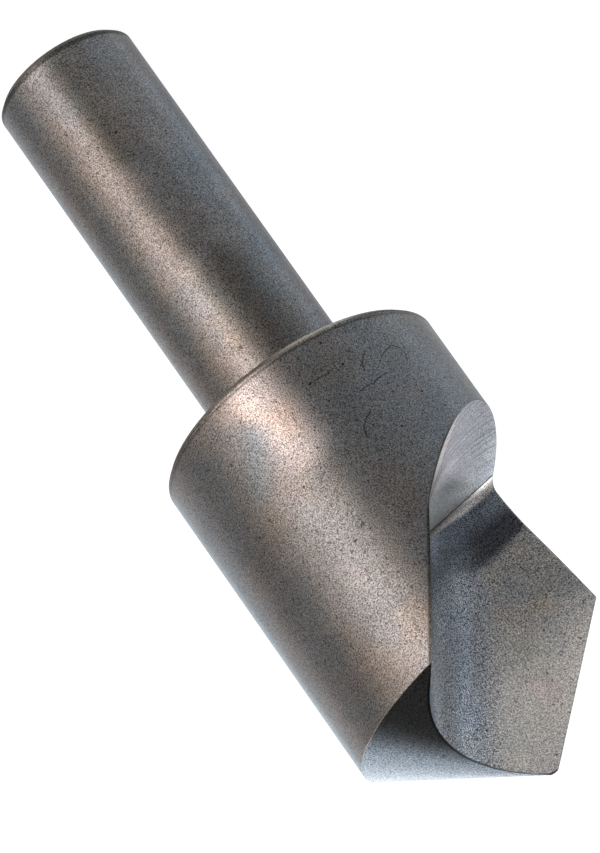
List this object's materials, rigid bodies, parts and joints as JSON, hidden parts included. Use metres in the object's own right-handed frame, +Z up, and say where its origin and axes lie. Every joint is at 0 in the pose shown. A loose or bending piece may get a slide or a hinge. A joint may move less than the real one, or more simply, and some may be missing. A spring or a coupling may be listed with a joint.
{
  "type": "countersink bit",
  "caption": "Single-flute countersink bit with a straight round shank, a wide head and a relieved conical point.",
  "frame": {"origin": "centre of the shank's end face, on the axis of the shank", "axes": "+Z runs up the axis from the shank's end to the cutting point; the flute opens towards -X and -Y, and the flat tooth face lies near the XZ plane on the -X side"},
  "size_m": [0.0254, 0.0254, 0.075],
  "materials": {
    "tool_steel": "bead-blasted high-speed steel, matte grey, finely pitted"
  },
  "bodies": {
    "root": {"countersink_bit": "tool_steel"}
  },
  "joints": []
}
